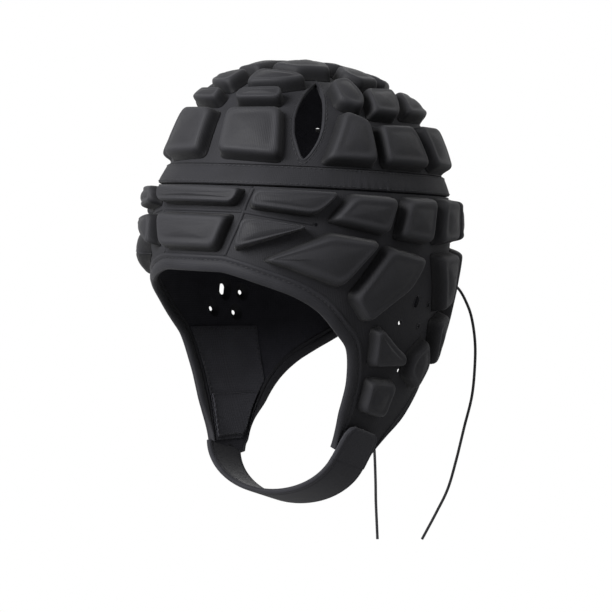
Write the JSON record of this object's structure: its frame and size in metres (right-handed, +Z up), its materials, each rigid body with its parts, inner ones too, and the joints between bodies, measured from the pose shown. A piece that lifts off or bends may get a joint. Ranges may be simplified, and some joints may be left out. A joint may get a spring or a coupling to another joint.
{
  "type": "padded headguard",
  "caption": "Soft padded headguard: fabric shell with separate foam pads, vents, ear holes, a chin strap that grips one cheek flap and lacing at the rear.",
  "frame": {"origin": "top of the shell's outer face, on the middle line, under the crown pads", "axes": "+Z up, -Y the wearer's front, +X the wearer's left"},
  "size_m": [0.1794, 0.2196, 0.3101],
  "materials": {
    "pad_fabric": "matte knit over foam with a soft sheen",
    "shell_fabric": "matte knit",
    "binding_tape": "folded stretch tape, matte",
    "strap_fabric": "matte knit over thin foam",
    "hook_and_loop": "napped loops",
    "stretch_mesh": "stretch mesh",
    "lace_cord": "braided round cord"
  },
  "bodies": {
    "headguard": {"crown_pad_front_lower_left": "pad_fabric", "crown_pad_front_lower_right": "pad_fabric", "crown_pad_front_upper_left": "pad_fabric", "crown_pad_front_upper_right": "pad_fabric", "crown_pad_vent_upper_left": "pad_fabric", "crown_pad_vent_upper_right": "pad_fabric", "crown_pad_vent_lower_left": "pad_fabric", "crown_pad_vent_lower_right": "pad_fabric", "crown_pad_side_upper_left": "pad_fabric", "crown_pad_side_upper_right": "pad_fabric", "crown_pad_side_lower_left": "pad_fabric", "crown_pad_side_lower_right": "pad_fabric", "crown_pad_rear_lower_left": "pad_fabric", "crown_pad_rear_lower_right": "pad_fabric", "ring_pad_front_upper": "pad_fabric", "ring_pad_front_lower": "pad_fabric", "ring_pad_upper_1_left": "pad_fabric", "ring_pad_upper_1_right": "pad_fabric", "ring_pad_upper_2_left": "pad_fabric", "ring_pad_upper_2_right": "pad_fabric", "ring_pad_upper_3_left": "pad_fabric", "ring_pad_upper_3_right": "pad_fabric", "ring_pad_upper_4_left": "pad_fabric", "ring_pad_upper_4_right": "pad_fabric", "ring_pad_upper_5_left": "pad_fabric", "ring_pad_upper_5_right": "pad_fabric", "ring_pad_lower_1_left": "pad_fabric", "ring_pad_lower_1_right": "pad_fabric", "ring_pad_lower_2_left": "pad_fabric", "ring_pad_lower_2_right": "pad_fabric", "ring_pad_lower_3_left": "pad_fabric", "ring_pad_lower_3_right": "pad_fabric", "ring_pad_rear_left": "pad_fabric", "ring_pad_rear_right": "pad_fabric", "ring_pad_nape_left": "pad_fabric", "ring_pad_nape_right": "pad_fabric", "ring_pad_behind_ear_left": "pad_fabric", "ring_pad_behind_ear_right": "pad_fabric", "flap_pad_front_left": "pad_fabric", "flap_pad_front_right": "pad_fabric", "flap_pad_rear_left": "pad_fabric", "flap_pad_rear_right": "pad_fabric", "flap_pad_lower_left": "pad_fabric", "flap_pad_lower_right": "pad_fabric", "crown_shell": "pad_fabric", "crown_band": "shell_fabric", "brow_panel": "shell_fabric", "side_panel_left": "shell_fabric", "side_panel_right": "shell_fabric", "face_binding": "binding_tape", "neck_binding_left": "binding_tape", "neck_binding_right": "binding_tape", "loop_patch": "hook_and_loop", "rear_tongue": "stretch_mesh", "lace_rows": "lace_cord", "lace_end_left": "lace_cord", "lace_end_right": "lace_cord"},
    "strap": {"chin_strap": "strap_fabric"},
    "tab": {"strap_tab": "strap_fabric"}
  },
  "joints": [
    {"name": "chin_strap_swing", "type": "hinge", "parent": "headguard", "child": "strap", "pos_m": [-0.04779, -0.02189, -0.23128], "axis": [0, 0.9438, -0.3305], "range_deg": [0, 70]},
    {"name": "tab_peel", "type": "hinge", "parent": "strap", "child": "tab", "pos_m": [0.05366, -0.02179, -0.23124], "axis": [0, 0.9438, -0.3305], "range_deg": [0, 60]}
  ]
}
